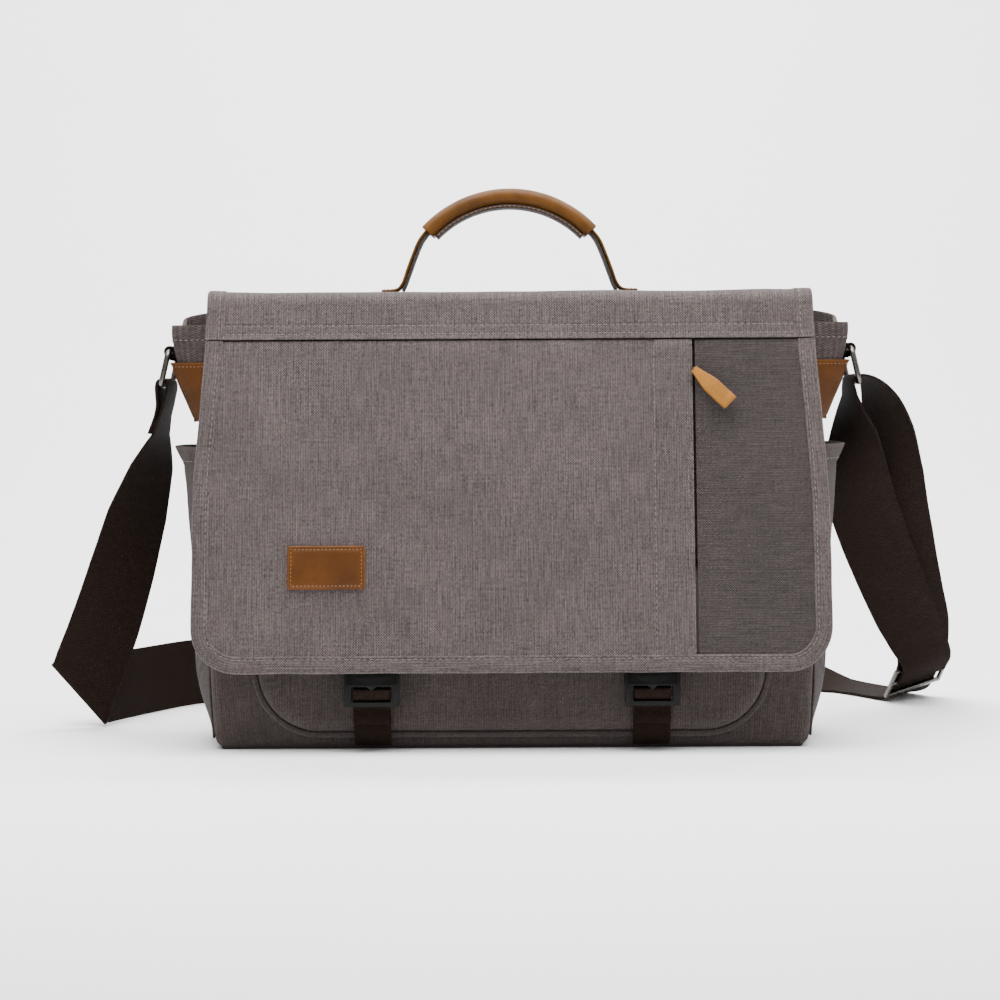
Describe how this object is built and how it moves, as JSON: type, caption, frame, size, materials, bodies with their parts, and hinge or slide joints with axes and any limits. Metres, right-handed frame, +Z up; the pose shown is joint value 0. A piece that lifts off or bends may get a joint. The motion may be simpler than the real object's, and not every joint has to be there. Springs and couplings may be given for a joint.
{
  "type": "messenger bag",
  "caption": "Canvas messenger bag with a folding flap, zip pocket in the flap, leather carrying handle, side-release buckles, side pockets and a webbing shoulder strap on metal rings.",
  "frame": {"origin": "underside of the base, on the bag's middle line and 52 mm behind the front edge of the base", "axes": "+Z up, -Y towards the front with the flap, +X to the right as seen from the front"},
  "size_m": [0.6755, 0.3581, 0.3838],
  "materials": {
    "canvas": "washed grey-brown cotton canvas, matte",
    "dark_canvas": "darker canvas, matte",
    "lining_cloth": "smooth dark polyester lining",
    "leather": "waxed tan leather, satin",
    "dark_leather": "burnished brown leather, satin",
    "webbing": "dark brown woven webbing",
    "zip_tape": "dark woven zip tape with moulded teeth",
    "dark_metal": "gunmetal plated wire, satin",
    "buckle_plastic": "black moulded acetal, satin"
  },
  "bodies": {
    "bag": {"bottom_panel": "dark_canvas", "back_panel": "canvas", "front_panel": "canvas", "gusset_left": "canvas", "gusset_right": "canvas", "lining": "lining_cloth", "laptop_sleeve": "lining_cloth", "front_pocket": "canvas", "front_pocket_piping": "dark_canvas", "side_pocket_left": "canvas", "side_pocket_right": "canvas", "base_webbing_left": "webbing", "base_webbing_right": "webbing", "ring_tab_left": "webbing", "ring_tab_right": "webbing", "leather_anchor_left": "dark_leather", "leather_anchor_right": "dark_leather", "shoulder_strap": "webbing", "shoulder_strap_loop": "webbing", "strap_adjuster": "dark_metal"},
    "flap_strip": {"flap_top": "canvas", "flap_top_binding_left": "canvas", "flap_top_binding_right": "canvas", "handle_foot_left": "leather", "handle_foot_right": "leather"},
    "flap": {"flap_panel": "canvas", "zip_placket": "canvas", "flap_side_panel": "canvas", "flap_lining": "lining_cloth", "flap_binding": "canvas", "leather_patch": "dark_leather", "zip_side_left": "zip_tape", "zip_side_right": "zip_tape", "flap_webbing_left": "webbing", "flap_webbing_right": "webbing", "buckle_female_left": "buckle_plastic", "buckle_female_right": "buckle_plastic"},
    "handle": {"handle_strap": "leather", "handle_lining": "canvas", "handle_grip": "leather"},
    "ring_left": {"ring_left": "dark_metal"},
    "ring_right": {"ring_right": "dark_metal"},
    "zip_slider": {"zip_slider": "dark_metal"},
    "zip_pull": {"zip_pull": "leather"},
    "buckle_male_left": {"buckle_male_left": "buckle_plastic"},
    "buckle_male_right": {"buckle_male_right": "buckle_plastic"}
  },
  "joints": [
    {"name": "flap_lift", "type": "hinge", "parent": "bag", "child": "flap_strip", "pos_m": [0, 0.051, 0.3008], "axis": [-1, 0, 0], "range_deg": [0, 183]},
    {"name": "flap_fold", "type": "hinge", "parent": "flap_strip", "child": "flap", "pos_m": [0, -0.0556, 0.2778], "axis": [-1, 0, 0], "range_deg": [0, 150]},
    {"name": "handle_tilt", "type": "hinge", "parent": "flap_strip", "child": "handle", "pos_m": [0, 0, 0.3135], "axis": [1, 0, 0], "range_deg": [-60, 60], "stiffness_Nm_per_rad": 0.15, "deforming": ["handle_strap", "handle_lining"]},
    {"name": "ring_left_swing", "type": "hinge", "parent": "bag", "child": "ring_left", "pos_m": [-0.2358, 0.00495, 0.271], "axis": [0, 1, 0], "range_deg": [0, 137], "deforming": ["shoulder_strap"]},
    {"name": "ring_right_swing", "type": "hinge", "parent": "bag", "child": "ring_right", "pos_m": [0.2358, 0.00495, 0.271], "axis": [0, -1, 0], "range_deg": [0, 137], "deforming": ["shoulder_strap_loop"]},
    {"name": "zip_travel", "type": "slide", "parent": "flap", "child": "zip_slider", "axis": [0, -0.1202, -0.9928], "range_m": [0, 0.115]},
    {"name": "zip_pull_lift", "type": "hinge", "parent": "zip_slider", "child": "zip_pull", "pos_m": [0.1245, -0.06103, 0.25653], "axis": [-0.7071, -0.085, -0.702], "range_deg": [0, 150]},
    {"name": "buckle_left_latch", "type": "slide", "parent": "bag", "child": "buckle_male_left", "axis": [0, 0.1202, 0.9928], "range_m": [0, 0.0178]},
    {"name": "buckle_right_latch", "type": "slide", "parent": "bag", "child": "buckle_male_right", "axis": [0, 0.1202, 0.9928], "range_m": [0, 0.0178]}
  ]
}
